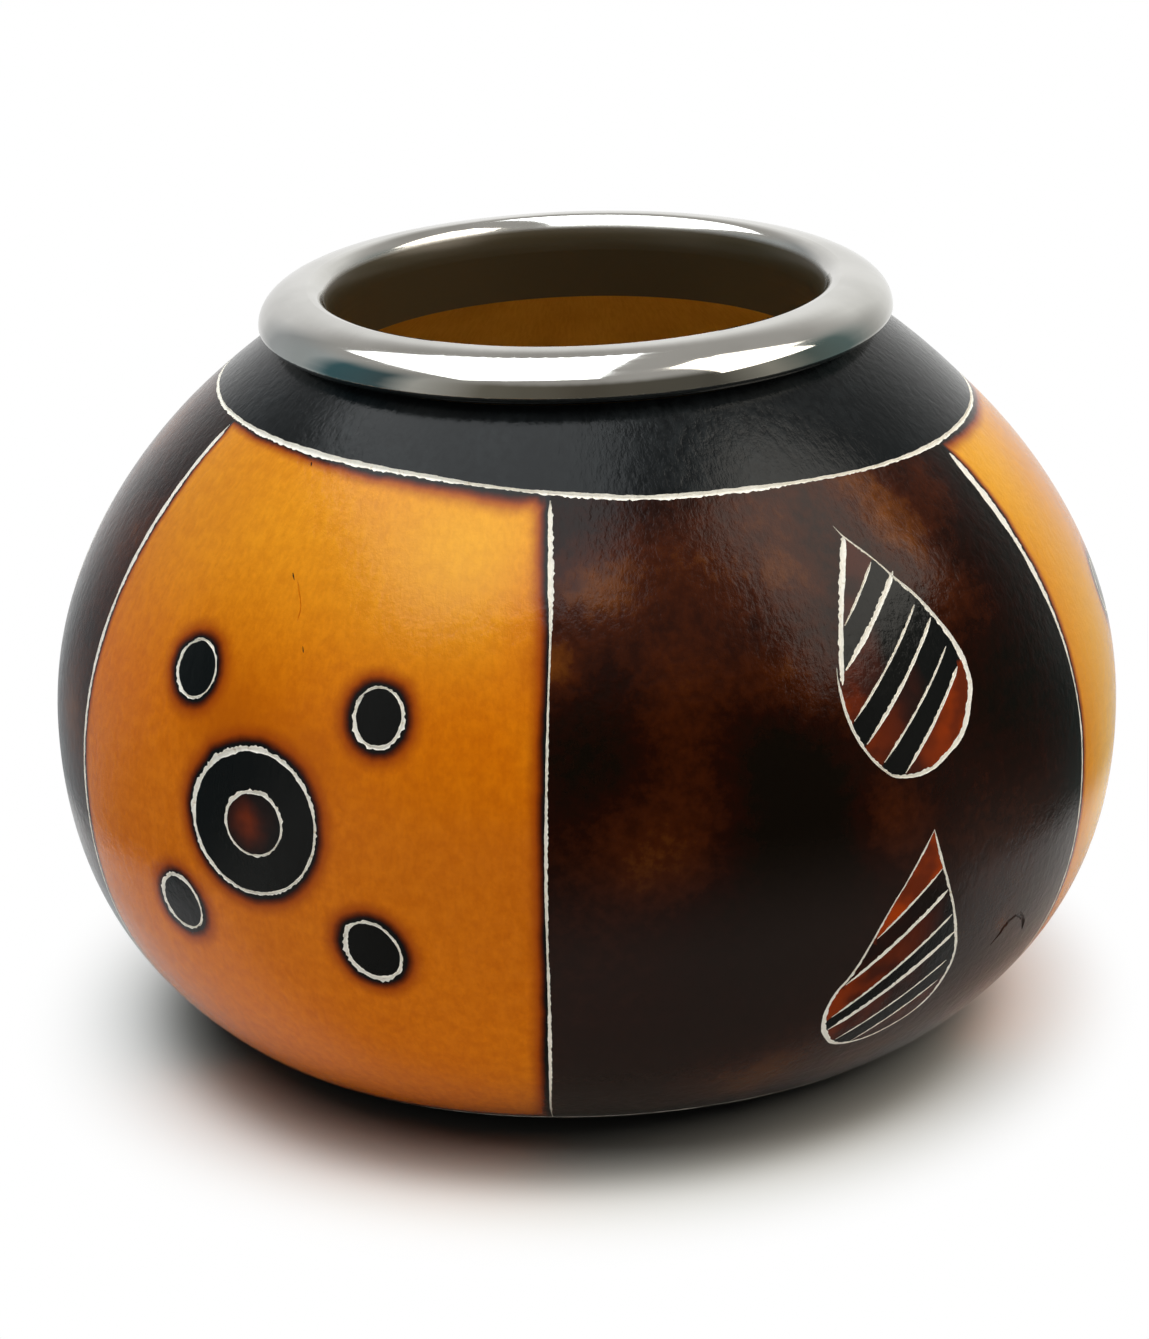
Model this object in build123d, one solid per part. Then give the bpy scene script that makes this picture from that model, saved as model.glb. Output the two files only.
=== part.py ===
"""A round drinking gourd with a carved skin: a hollow natural shell, cut level at the mouth, and a spun
sheet-steel rim that is glued into the cut. Millimetres, +Z up, origin under the middle of the flat foot."""

import os
from math import cos, radians, sin

from build123d import *

# Gourd body: where its outside runs from the foot to the cut mouth, with its normals in degrees
foot_radius = 26.3
hip_radius = 39.7
hip_height = 5.4
hip_normal = -50.0
belly_radius = 50.0
belly_height = 30.4
shoulder_radius = 46.3
shoulder_height = 46.0
shoulder_normal = 25.0
neck_radius = 27.7
neck_normal = 55.0
mouth_height = 66.6

# Gourd wall
wall = 4.5
floor_thickness = 5.0
neck_wall = 4.1
neck_depth = 3.0

# Rim: a sleeve of sheet steel in the mouth, rolled outward into a hollow bead that sits on the cut
sheet = 0.6
glue_gap = 0.4
sleeve_overhang = 0.4
bead_overhang = 1.6
bead_rise = 3.2
bead_drop = 1.2
crown_inward = 2.1
curl_inward = 2.2
seat_width = 1.5

# Places that follow from the sizes above
bore_radius = neck_radius - neck_wall
sleeve_radius = bore_radius - glue_gap - sheet
crown_radius = sleeve_radius + crown_inward
bead_radius = neck_radius + bead_overhang
crown_outward = bead_radius - crown_radius
curl_radius = bead_radius - curl_inward
bead_height = mouth_height + bead_drop
sleeve_bottom = mouth_height - neck_depth - sleeve_overhang

UP = (0, 1)
OUT = (1, 0)


def turned(*edges):
    """Close the edges into a half section (radius, height) and turn it about the Z axis."""
    section = make_face(Curve() + list(edges))
    return revolve(Plane.XZ * section, Axis.Z)


def moved_in(radius, height, normal, inset):
    """A point of the outside, moved into the wall against its outward normal, in degrees."""
    return (radius - inset * cos(radians(normal)), height - inset * sin(radians(normal)))


def body_side(foot_height, top, inset):
    """The curve from the foot to the top of the gourd, as the outside or set in by the wall."""
    foot = (foot_radius, foot_height)
    hip = moved_in(hip_radius, hip_height, hip_normal, inset)
    belly = (belly_radius - inset, belly_height)
    shoulder = moved_in(shoulder_radius, shoulder_height, shoulder_normal, inset)
    neck_run = (-sin(radians(neck_normal)), cos(radians(neck_normal)))
    lower = Spline(foot, hip, belly, tangents=(OUT, UP))
    upper = Spline(belly, shoulder, top, tangents=(UP, neck_run))
    return [lower, upper]


def gourd_shell():
    """The gourd's own wall: round outside, hollow inside, with a straight bore through the neck."""
    rim_edge = (neck_radius, mouth_height)
    bore_edge = (bore_radius, mouth_height - neck_depth)
    outside = turned(
        Line((0, 0), (foot_radius, 0)),
        *body_side(0, rim_edge, 0),
        Line(rim_edge, (0, mouth_height)),
        Line((0, mouth_height), (0, 0)),
    )
    hollow = turned(
        Line((0, floor_thickness), (foot_radius, floor_thickness)),
        *body_side(floor_thickness, bore_edge, wall),
        Line(bore_edge, (bore_radius, mouth_height)),
        Line((bore_radius, mouth_height), (0, mouth_height)),
        Line((0, mouth_height), (0, floor_thickness)),
    )
    return outside - hollow


def bead_quarters(inset):
    """The rolled bead in three elliptic quarters: inner crown, outer crown and the curl under it."""
    crown = (crown_radius, bead_height)
    rise = bead_rise - inset
    inner = EllipticalCenterArc(crown, crown_inward - inset, rise, 90, arc_size=90)
    outer = EllipticalCenterArc(crown, crown_outward - inset, rise, 0, arc_size=90)
    curl_centre = (curl_radius, bead_height)
    curl = EllipticalCenterArc(curl_centre, curl_inward - inset, bead_drop - inset, 270, arc_size=90)
    return [inner, outer, curl]


def mouth_rim():
    """One strip of sheet: up the sleeve, over the crown, round the bead and flat onto the cut."""
    seat_radius = curl_radius - seat_width
    seat_top = mouth_height + sheet
    outer_sleeve = sleeve_radius + sheet
    return turned(
        Line((sleeve_radius, sleeve_bottom), (sleeve_radius, bead_height)),
        *bead_quarters(0),
        Line((curl_radius, mouth_height), (seat_radius, mouth_height)),
        Line((seat_radius, mouth_height), (seat_radius, seat_top)),
        Line((seat_radius, seat_top), (curl_radius, seat_top)),
        *bead_quarters(sheet),
        Line((outer_sleeve, bead_height), (outer_sleeve, sleeve_bottom)),
        Line((outer_sleeve, sleeve_bottom), (sleeve_radius, sleeve_bottom)),
    )


def rim_glue():
    """The ring of glue that fills the gap between the sleeve and the bore of the neck."""
    inner = sleeve_radius + sheet
    bottom = mouth_height - neck_depth
    section = Polyline(
        (inner, bottom),
        (bore_radius, bottom),
        (bore_radius, mouth_height),
        (inner, mouth_height),
        close=True,
    )
    return turned(section)


os.makedirs("parts", exist_ok=True)
for make in (gourd_shell, mouth_rim, rim_glue):
    piece = make()
    export_step(piece, f"parts/{make.__name__}.step")
    box = piece.bounding_box()
    print(make.__name__, "volume", round(piece.volume, 1), "height", round(box.size.Z, 2))
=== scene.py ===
# %% [markdown]
# # A carved gourd cup
# This cup is a dried gourd. Its skin is stained in panels, scorched, and cut with a small gouge, so that
# the pale flesh shows as thin lines. A ring of rolled steel finishes the cut mouth.
# The CAD frame gives the true sizes. The steps below set the camera, cut the carving into a fine mesh of
# the skin, give each piece its finish, and light it on a white floor.

# %% Load the frame
import math

import bpy
import numpy as np
from mathutils import Matrix, Vector, kdtree
from mathutils.geometry import delaunay_2d_cdt


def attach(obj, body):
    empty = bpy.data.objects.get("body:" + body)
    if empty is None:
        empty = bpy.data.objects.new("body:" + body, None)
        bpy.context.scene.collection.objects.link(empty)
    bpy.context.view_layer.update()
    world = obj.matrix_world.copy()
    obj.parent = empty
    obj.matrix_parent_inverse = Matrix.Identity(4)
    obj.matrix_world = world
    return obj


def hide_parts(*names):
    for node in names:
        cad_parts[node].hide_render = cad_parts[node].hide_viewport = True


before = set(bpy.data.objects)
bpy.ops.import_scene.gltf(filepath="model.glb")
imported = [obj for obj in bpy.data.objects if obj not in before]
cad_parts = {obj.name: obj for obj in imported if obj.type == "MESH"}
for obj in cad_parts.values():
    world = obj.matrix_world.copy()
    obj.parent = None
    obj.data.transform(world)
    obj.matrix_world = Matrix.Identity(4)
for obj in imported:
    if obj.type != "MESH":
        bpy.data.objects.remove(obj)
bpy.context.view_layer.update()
MM = 0.001
print("CAD nodes:", sorted(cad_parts))

# %% [markdown]
# ## The camera
# The picture is taken from a little above the mouth with a long lens, so the rim shows as a flat ellipse
# and the sides hardly converge. The camera is turned by two degrees, which lifts the right side of the rim.
# A tracking constraint could aim it, but two fixed points and a roll are easier to read and to change.

# %% Set the camera
SENSOR = 36.0
LENS = 127.7
EYE = Vector((0.0, -425.7, 179.8)) * MM
AIM = Vector((-1.3, -0.4, 32.8)) * MM
CAMERA_ROLL = math.radians(-2.1)

camera = bpy.data.objects.new("camera", bpy.data.cameras.new("camera"))
camera.data.sensor_width = SENSOR
camera.data.lens = LENS
aimed = (AIM - EYE).to_track_quat("-Z", "Y").to_matrix().to_4x4()
camera.matrix_world = Matrix.Translation(EYE) @ aimed @ Matrix.Rotation(CAMERA_ROLL, 4, "Z")
bpy.context.collection.objects.link(camera)
bpy.context.scene.camera = camera
print("camera is", round((AIM - EYE).length / MM), "mm from the cup")

# %% [markdown]
# ## The gourd's outline
# The carving needs a much finer skin than the CAD solid has, on exactly the same shape. So the outline of
# the wall is read from the vertices of the CAD node. A place on the skin is then given by two numbers: its
# turn round the gourd, in degrees to the right of the front, and its climb, the distance along the skin
# above the belly line, in mm.

# %% Sort the vertices of the wall into outside and inside
WALL_GAP = 2.0
ANGLE_STEP = math.radians(2.0)
TINY = 0.01

shell_points = np.array([v.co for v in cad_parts["gourd_shell"].data.vertices]) / MM
ring_radius = np.hypot(shell_points[:, 0], shell_points[:, 1])
ring_height = shell_points[:, 2]
belly_height = ring_height[ring_radius.argmax()]
mouth_height = ring_height.max()
at_mouth = ring_height > mouth_height - TINY
bore_radius = ring_radius[at_mouth].min()

# Seen from the middle of the belly line, the outside is further away than the inside at every angle
angle = np.arctan2(ring_height - belly_height, ring_radius)
reach = np.hypot(ring_height - belly_height, ring_radius)
sector = np.round(angle / ANGLE_STEP).astype(int)
furthest = {k: reach[sector == k].max() for k in np.unique(sector)}
on_outside = reach > np.array([furthest[k] for k in sector]) - WALL_GAP
on_outside &= ring_radius > bore_radius + WALL_GAP
print("vertices outside:", int(on_outside.sum()), "and inside:", int((~on_outside).sum()))

# %% Read the two outlines
RING_GAP = math.radians(0.3)


def side_outline(chosen):
    """Radius and height of the chosen vertices, once for each ring, from the foot up."""
    rings = np.unique(np.stack([angle, ring_radius, ring_height], axis=1)[chosen].round(3), axis=0)
    keep = np.concatenate([[True], np.diff(rings[:, 0]) > RING_GAP])
    # The topmost ring stays, in place of the one just below it
    keep[-2:] = [False, True]
    return rings[keep, 1:]


outside = side_outline(on_outside)
inside = side_outline(~on_outside & (ring_height > WALL_GAP) & ~at_mouth)
steps = np.hypot(*np.diff(outside, axis=0).T)
outline_climb = np.concatenate([[0.0], np.cumsum(steps)])
outline_climb -= outline_climb[outside[:, 0].argmax()]
FOOT, NECK = outline_climb[0], outline_climb[-1]
BELLY_RADIUS = outside[:, 0].max()
print("outside:", len(outside), "rings, climb", round(FOOT, 1), "to", round(NECK, 1), "mm")
print("inside:", len(inside), "rings, height", inside[0, 1], "to", inside[-1, 1], "mm")

# %% Find places on the skin
SLOPE_REACH = 0.5


def skin_radius(climb):
    """Radius of the skin at a climb."""
    return np.interp(climb, outline_climb, outside[:, 0])


def skin_height(climb):
    """Height above the floor of the skin at a climb."""
    return np.interp(climb, outline_climb, outside[:, 1])


def on_skin(turn, climb, depth=0.0):
    """Points in mm at a turn and climb, pushed into the skin by a depth."""
    rise = skin_height(climb + SLOPE_REACH) - skin_height(climb - SLOPE_REACH)
    run = skin_radius(climb + SLOPE_REACH) - skin_radius(climb - SLOPE_REACH)
    slope = np.arctan2(rise, run)
    radius = skin_radius(climb) - depth * np.sin(slope)
    height = skin_height(climb) + depth * np.cos(slope)
    around = np.radians(turn)
    return np.stack([radius * np.sin(around), -radius * np.cos(around), height], axis=-1)


print("belly radius", round(BELLY_RADIUS, 2), "mm, neck radius", round(skin_radius(NECK), 2), "mm")

# %% [markdown]
# ## Gouge cuts
# A cut is made by pushing a narrow gouge through the hard skin. One edge comes out clean and the other is
# ragged, because the skin breaks away in flakes, and the cut thins out where the tool enters or leaves.
# A bump texture could draw this, but a groove with real edges stays crisp from every side.
# Each cut is a row of stations. A station has four points across it: two edges, which stay on the skin,
# and two points of the bed, which are pushed in later.

# %% Draw lines on the skin
STATION_STEP = 0.24
rng = np.random.default_rng(11)


def walk(points):
    """Points an even step apart along a line of (turn, climb) points, measured in mm on the skin."""
    line = np.asarray(points, float)
    move = np.diff(line, axis=0)
    across = np.radians(move[:, 0]) * skin_radius((line[1:, 1] + line[:-1, 1]) / 2)
    along = np.concatenate([[0.0], np.cumsum(np.hypot(across, move[:, 1]))])
    count = max(3, round(along[-1] / STATION_STEP))
    place = np.linspace(0.0, along[-1], count + 1)
    return np.stack([np.interp(place, along, column) for column in line.T], axis=1)


def flowing(points, parts=12):
    """A smooth line through the points, parallel at each one to the line between its neighbours."""
    p = np.asarray(points, float)
    p = np.vstack([2 * p[0] - p[1], p, 2 * p[-1] - p[-2]])
    t = np.linspace(0.0, 1.0, parts, endpoint=False)[:, None]
    spans = []
    for a, b, c, d in zip(p, p[1:], p[2:], p[3:]):
        bend = t**2 * (a - 2.5 * b + 2 * c - d / 2) + t**3 * (1.5 * b - 1.5 * c + (d - a) / 2)
        spans.append(b + t * (c - a) / 2 + bend)
    return np.vstack(spans + [p[-2:-1]])


print("a cut has a station every", STATION_STEP, "mm")

# %% Let the width of a cut vary
# Length of each sway along the cut, in mm, and its share of the width
SLOW_WAVE, SLOW_SWAY = 7.0, 0.08
QUICK_WAVE, QUICK_SWAY = 2.6, 0.09
ENTRY_WIDTH = 0.2


def sides_of(line):
    """Unit steps to the left of a line, measured in mm on the skin."""
    ahead = np.gradient(line, axis=0)
    along = np.stack([np.radians(ahead[:, 0]) * skin_radius(line[:, 1]), ahead[:, 1]], axis=1)
    along /= np.linalg.norm(along, axis=1)[:, None]
    return np.stack([-along[:, 1], along[:, 0]], axis=1)


def uneven_width(width, ends, ragged):
    """Half widths of a cut that sways a little and tapers over the given lengths at its two ends."""
    count = len(width)
    place = np.arange(count)
    sway = np.ones(count)
    for wave, share in ((SLOW_WAVE, SLOW_SWAY), (QUICK_WAVE, QUICK_SWAY)):
        turns = max(1, round(count * STATION_STEP / wave))
        sway += ragged * share * np.sin(2 * math.pi * (turns * place / count + rng.random()))
    half = width / 2 * sway
    for distance, taper in ((place, ends[0]), (place[::-1], ends[1])):
        if taper:
            half *= np.clip(ENTRY_WIDTH + (1 - ENTRY_WIDTH) * distance * STATION_STEP / taper, 0, 1)
    return half


print("a tapered end is", ENTRY_WIDTH, "of the full width")

# %% Cut along a line
BED_SHARE = 0.5
# The clean and the ragged edge: how far they stray, in mm, for a burr of one
BURRS = (0.015, 0.055)
BURR_LEAST, BURR_MOST = -1.3, 1.8
FULL_BURR = 0.22
LEAST_HALF = 0.03
HEAVIER = 0.35
cuts = []


def cut(points, width, kind, ends=(0.0, 0.0), halo=1.0, whole_turn=False, heavy=None, ragged=1.0):
    """Add a cut along a line of (turn, climb) points. The halo is how far its scorching spreads, in mm.
    The width and the halo are numbers, or functions of the line. A third column in the points is a width
    too. A round cut can be heavier on one side, given as an angle in degrees."""
    line = walk(points)
    count = len(line)
    side = sides_of(line)
    if line.shape[1] > 2:
        line, width = line[:, :2], line[:, 2]
    elif callable(width):
        width = width(line)
    half = uneven_width(np.broadcast_to(width, count), ends, ragged)
    if heavy is not None:
        outward = np.arctan2(-side[:, 1], -side[:, 0])
        half *= 1 + HEAVIER * np.cos(outward - math.radians(heavy))
    burr = ragged * rng.standard_normal((2, count)).clip(BURR_LEAST, BURR_MOST)
    burr *= np.minimum(1, half / FULL_BURR)
    left = np.maximum(half + BURRS[0] * burr[0], LEAST_HALF)
    right = np.maximum(half + BURRS[1] * burr[1], LEAST_HALF)
    if whole_turn:
        half[-1], left[-1], right[-1] = half[0], left[0], right[0]
        side[0] = side[-1] = (0.0, 1.0)
    rows = []
    for offset in (-right, -BED_SHARE * half, BED_SHARE * half, left):
        shift = side * offset[:, None]
        shift[:, 0] = np.degrees(shift[:, 0] / skin_radius(line[:, 1]))
        rows.append(line + shift)
    made = {"kind": kind, "line": line, "half": half, "rows": rows}
    made["halo"] = np.broadcast_to(halo(line) if callable(halo) else halo, count)
    cuts.append(made)
    return made


print("the ragged edge of a cut strays by up to", round(BURRS[1] * BURR_MOST, 3), "mm")

# %% [markdown]
# ## The lines that divide the skin
# One cut runs round under the mouth and one near the foot. They were drawn by eye, so the upper one sits
# a few millimetres higher on the left than on the right, and its width changes as the hand pressed. The skin
# under it is scorched, more toward the right of each panel.
# Two plain circles would look machine made. So the upper line is a tilted circle, and a short list says how
# far the hand strayed from it, how wide the gouge cut and how far the scorching spread.

# %% Cut the two rings
COLLAR_CLIMB, COLLAR_TILT = 34.83, 2.88
BASE_CLIMB, BASE_WIDTH, BASE_HALO = -33.1, 0.30, 0.6
# Turn, how far the collar line strays upward, its width and its halo, in mm
COLLAR_HAND = np.array([
    (-180, 0.0, 0.45, 0.6), (-75, -0.7, 0.34, 0.35), (-57, -0.5, 0.50, 0.40), (-42, -0.25, 0.60, 0.50),
    (-24, 0.05, 0.50, 0.75), (-9, -0.2, 0.26, 0.95), (-3, -0.3, 0.54, 0.40), (9, -0.55, 0.50, 0.45),
    (21, -0.2, 0.58, 0.60), (33, 0.0, 0.31, 0.70), (45, 0.0, 0.31, 0.70), (55, 0.1, 0.43, 0.60),
    (75, 0.45, 0.40, 0.60), (180, 0.0, 0.45, 0.6),
])
HAND_EASE = 25
HALF_TURN, FULL_TURN = 180.0, 360.0
ROUND_POINTS = 721

all_round = np.linspace(-HALF_TURN, HALF_TURN, ROUND_POINTS)
weights = np.hanning(HAND_EASE) / np.hanning(HAND_EASE).sum()
stray = np.interp(all_round, COLLAR_HAND[:, 0], COLLAR_HAND[:, 1])
stray = np.convolve(np.pad(stray, HAND_EASE // 2, mode="edge"), weights, mode="valid")


def collar_line(turn):
    """Climb of the cut under the mouth."""
    return COLLAR_CLIMB - COLLAR_TILT * np.sin(np.radians(turn)) + np.interp(turn, all_round, stray)


def collar_width(line):
    """Width of the collar's cut along its line."""
    return np.interp(line[:, 0], COLLAR_HAND[:, 0], COLLAR_HAND[:, 2])


def collar_halo(line):
    """How far the scorching spreads along the collar's line."""
    return np.interp(line[:, 0], COLLAR_HAND[:, 0], COLLAR_HAND[:, 3])


collar_points = np.stack([all_round, collar_line(all_round)], axis=1)
base_points = np.stack([all_round, np.full(len(all_round), BASE_CLIMB)], axis=1)
cut(collar_points, collar_width, "ring", whole_turn=True, halo=collar_halo)
cut(base_points, BASE_WIDTH, "ring", whole_turn=True, halo=BASE_HALO)
print("two rings,", sum(len(c["line"]) for c in cuts), "stations")

# %% [markdown]
# Six upright cuts divide the skin between the rings into panels that are amber and brown by turns. Their
# widths were read from the picture at a few climbs: the one in front swells under the collar and thins to a
# hair below, and the one on the right is a broad groove at its top. Three lines are enough to describe: the
# other three repeat them at their own turns.

# %% Cut the upright lines
PANEL_TURNS = [-67.1, -4.5, 62.1, 119.8, 177.5, 235.2]
LINE_STARTS = [0.0, 0.40, 0.6, 0.3, 0.6, 0.2]
LINE_HALOS = [0.35, 0.60, 0.4, 0.6, 0.6, 0.5]
LINE_ENDS = (3.0, 1.2)
# How far each line wanders from its turn, in degrees, at these climbs
WANDER_CLIMBS = [36.0, 24.4, 15.7, 7.3, -1.7, -11.8, -21.0, -27.8, BASE_CLIMB]
LEFT_WANDER = [-0.3, -0.4, -0.3, 0.0, 0.0, 0.0, 0.0, -0.1, -0.2]
FRONT_WANDER = [0.0, 0.44, 0.2, -0.1, -0.4, -0.7, -1.4, -2.3, -2.9]
RIGHT_WANDER = [-0.9, 0.3, 0.8, 0.9, 1.0, 0.9, 0.7, 0.5, 0.2]
# The width of each line, in mm, at these climbs
WIDTH_CLIMBS = [-33, -27, -18, -6, 0, 9, 15, 18, 21, 24, 27, 30, 36]
LEFT_WIDTHS = [0.15, 0.25, 0.34, 0.35, 0.38, 0.45, 0.52, 0.42, 0.60, 0.62, 0.58, 0.65, 0.45]
FRONT_WIDTHS = [0.09, 0.17, 0.34, 0.18, 0.30, 0.22, 0.20, 0.12, 0.20, 0.36, 0.56, 0.42, 0.28]
RIGHT_WIDTHS = [0.15, 0.25, 0.30, 0.26, 0.24, 0.26, 0.50, 0.78, 0.60, 0.92, 1.05, 0.80, 0.50]

panel_lines = []


def wrapped(turn):
    """The same turn, counted from the front the shorter way round."""
    return turn - FULL_TURN * (turn > HALF_TURN)


for k, turn in enumerate(PANEL_TURNS):
    turn = wrapped(turn)
    wander = (LEFT_WANDER, FRONT_WANDER, RIGHT_WANDER)[k % 3]
    widths = (LEFT_WIDTHS, FRONT_WIDTHS, RIGHT_WIDTHS)[k % 3]
    upright = flowing(np.stack([turn + np.array(wander), WANDER_CLIMBS], axis=1))[::-1]
    panel_lines.append(upright)
    shown = upright[upright[:, 1] < collar_line(turn) - LINE_STARTS[k]]
    shown = np.column_stack([shown, np.interp(shown[:, 1], WIDTH_CLIMBS, widths)])
    cut(shown, None, "line", ends=LINE_ENDS, halo=LINE_HALOS[k])
print(len(panel_lines), "upright lines")

# %% [markdown]
# ## The motifs
# Each amber panel has a ringed spot with four small spots round it. They are scorched black inside, and
# the heat has browned the skin round each cut. Each brown panel has two leaves, one above the other. The
# maker repeated them freehand, so the copies are moved a little on each panel.
# The motifs could be curves that are projected onto the skin. As lists of places on the skin they go through
# the same gouge as the rings, so all cuts look alike. A spot is an oval whose stroke runs past its start.

# %% Draw and cut the spots
# Turn, climb, half width and half height in mm, tilt in degrees, width of the cut, its heavier side, and
# the angles at which the stroke starts and by which it runs past its start
SPOTS = [
    (-47.2, 14.9, 2.59, 2.45, -61.0, 0.26, 193.0, 100.0, 18.0),
    (-22.5, 13.8, 2.59, 2.30, -86.0, 0.31, 267.0, 135.0, 24.0),
    (-48.0, -6.9, 2.67, 2.50, -24.0, 0.33, 141.0, 110.0, 16.0),
    (-23.2, -7.3, 2.88, 2.55, -56.0, 0.37, 229.0, 140.0, 22.0),
    (-36.4, 2.9, 3.13, 2.89, 13.0, 0.28, 112.0, 70.0, 20.0),
    (-36.7, 2.9, 6.91, 6.49, 16.0, 0.37, 146.0, 104.0, 34.0),
]
# The pupil is the inner oval of the ringed spot, by its place in the list
PUPIL = 4
OVAL_POINTS = 60
SPOT_HALO = 0.75
SPOT_RAGGED, SPOT_ENDS, SPOT_MISS = 1.6, (0.6, 0.9), 0.16
AMBER_MOVES = [(0.0, 0.0), (133.0, -4.8), (242.0, 1.0)]
spots = []


def oval(middle, wide, high, tilt, start, over):
    """A freehand oval of (turn, climb) points, sizes in mm, whose end runs past its start and misses it."""
    a = np.radians(np.linspace(start - tilt, start - tilt + FULL_TURN + over, OVAL_POINTS))
    miss = SPOT_MISS * np.linspace(-0.5, 0.5, OVAL_POINTS)
    c, s = math.cos(math.radians(tilt)), math.sin(math.radians(tilt))
    x = (wide + miss) * np.cos(a) * c - (high + miss) * np.sin(a) * s
    y = (wide + miss) * np.cos(a) * s + (high + miss) * np.sin(a) * c
    return np.stack([middle[0] + np.degrees(x / skin_radius(middle[1] + y)), middle[1] + y], axis=1)


for around, up in AMBER_MOVES:
    for n, (turn, climb, wide, high, tilt, width, heavy, start, over) in enumerate(SPOTS):
        middle = (wrapped(turn + around), climb + up)
        outline = oval(middle, wide, high, tilt, start, over)
        made = cut(outline, width, "spot", SPOT_ENDS, SPOT_HALO, heavy=heavy, ragged=SPOT_RAGGED)
        spots.append((n, middle, made["line"]))
print(len(spots), "ovals")

# %% [markdown]
# A leaf is drawn with one or two long strokes and crossed by six slanted hatches. The strips between the
# hatches are charred, and some glow red where the char is thin. A straight outline would look stencilled, so
# each stroke is a smooth line through a few places, with the width of the cut at each of them.

# %% Measures of the leaves
# Turn, climb and width of the cut. The upper leaf has a long stroke round it and a short one on its left
UPPER_ROUND = [
    (33.4, 28.5, 0.10), (34.2, 27.3, 0.18), (36.9, 24.7, 0.19), (38.5, 22.8, 0.21), (40.6, 20.5, 0.36),
    (41.9, 18.6, 0.44), (43.0, 16.7, 0.48), (43.8, 14.8, 0.56), (44.1, 13.1, 0.58), (43.9, 11.4, 0.58),
    (42.9, 9.8, 0.54), (41.9, 8.4, 0.56), (40.5, 7.3, 0.52), (38.6, 6.4, 0.44), (36.8, 5.7, 0.40),
    (34.9, 5.5, 0.36), (33.2, 5.6, 0.28), (31.6, 6.0, 0.24), (30.3, 7.0, 0.28), (29.0, 8.4, 0.24),
    (27.9, 10.3, 0.27), (27.4, 11.9, 0.30), (27.2, 13.4, 0.34), (27.2, 15.1, 0.22), (27.4, 16.2, 0.08),
]
UPPER_LEFT = [
    (34.1, 27.3, 0.50), (31.2, 23.1, 0.54), (29.2, 19.4, 0.46), (28.0, 16.1, 0.42), (27.6, 14.6, 0.38),
]
LOWER_ROUND = [
    (36.4, 0.0, 0.30), (37.3, -2.7, 0.28), (38.5, -5.5, 0.22), (39.6, -8.0, 0.28), (40.6, -10.6, 0.32),
    (41.4, -12.9, 0.30), (41.6, -14.8, 0.34), (41.2, -16.8, 0.34), (40.2, -19.0, 0.26), (38.4, -20.6, 0.22),
    (35.7, -21.8, 0.20), (32.8, -22.5, 0.22), (30.0, -22.4, 0.28), (27.9, -21.7, 0.36), (26.3, -20.1, 0.44),
    (25.3, -18.1, 0.46), (25.2, -15.9, 0.38), (25.9, -14.1, 0.28), (27.2, -12.6, 0.25), (28.4, -10.7, 0.25),
    (29.7, -8.5, 0.20), (31.2, -6.2, 0.15), (32.7, -4.4, 0.14), (34.2, -2.6, 0.18), (35.6, -0.9, 0.22),
    (36.4, 0.1, 0.18),
]
# Start and end of each hatch, as turn and climb, and its width
UPPER_HATCH = [
    ((36.4, 24.5), (29.8, 19.6), 0.24), ((38.9, 23.2), (28.4, 15.8), 0.48),
    ((39.9, 19.8), (28.1, 11.4), 0.22), ((41.5, 18.3), (29.1, 9.2), 0.32),
    ((42.2, 15.5), (30.8, 7.3), 0.21), ((42.9, 13.5), (33.2, 5.9), 0.31),
]
LOWER_HATCH = [
    ((37.6, -3.9), (29.8, -9.1), 0.22), ((38.6, -6.2), (26.8, -13.5), 0.38),
    ((39.7, -9.0), (26.1, -17.4), 0.28), ((40.6, -11.1), (26.2, -19.2), 0.44),
    ((40.6, -14.3), (28.0, -21.2), 0.22), ((40.4, -16.7), (30.6, -22.3), 0.22),
]
# How red each strip between the hatches is at the left and right of the leaf, from the tip down. A strip
# whose value runs below zero or past one stays at that limit from there on
UPPER_STRIPS = [(0.10, 0.20), (0, 0), (0.50, -0.75), (0, 0), (0.50, -0.30), (0, 0), (-0.1, 1.0)]
LOWER_STRIPS = [(1.0, 1.2), (0.1, 0), (0.65, -0.1), (0, 0), (0.4, -0.1), (0, 0), (0.2, 0.2)]
print(len(UPPER_HATCH) + len(LOWER_HATCH), "hatches on a pair of leaves")

# %% Cut the leaves
LEAF_HALO, HATCH_HALO = 0.6, 0.25
ROUND_ENDS, LEFT_ENDS, HATCH_ENDS = (2.0, 2.5), (0.25, 0.5), (0.8, 1.8)
BROWN_MOVES = [(0.0, 0.0), (119.0, -1.0), (226.5, 0.5)]
leaves = []

for around, up in BROWN_MOVES:
    for long_stroke, short_stroke, hatch, strips in (
        (UPPER_ROUND, UPPER_LEFT, UPPER_HATCH, UPPER_STRIPS),
        (LOWER_ROUND, [], LOWER_HATCH, LOWER_STRIPS),
    ):
        move = np.array([wrapped(around), up, 0.0])
        edge = flowing(np.array(long_stroke) + move)
        cut(edge, None, "leaf", ends=ROUND_ENDS, halo=LEAF_HALO)
        if short_stroke:
            left_edge = flowing(np.array(short_stroke) + move)
            cut(left_edge, None, "leaf", ends=LEFT_ENDS, halo=LEAF_HALO)
            edge = np.vstack([edge[edge[:, 1] < left_edge[0, 1]], left_edge[::-1]])
        strokes = []
        for start, stop, width in hatch:
            stroke = np.array([start, stop]) + move[:2]
            cut(stroke, width, "hatch", ends=HATCH_ENDS, halo=HATCH_HALO)
            strokes.append(stroke)
        leaves.append((edge[:, :2], strokes, strips))
print(len(cuts), "cuts,", sum(len(c["line"]) for c in cuts), "stations")

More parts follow.
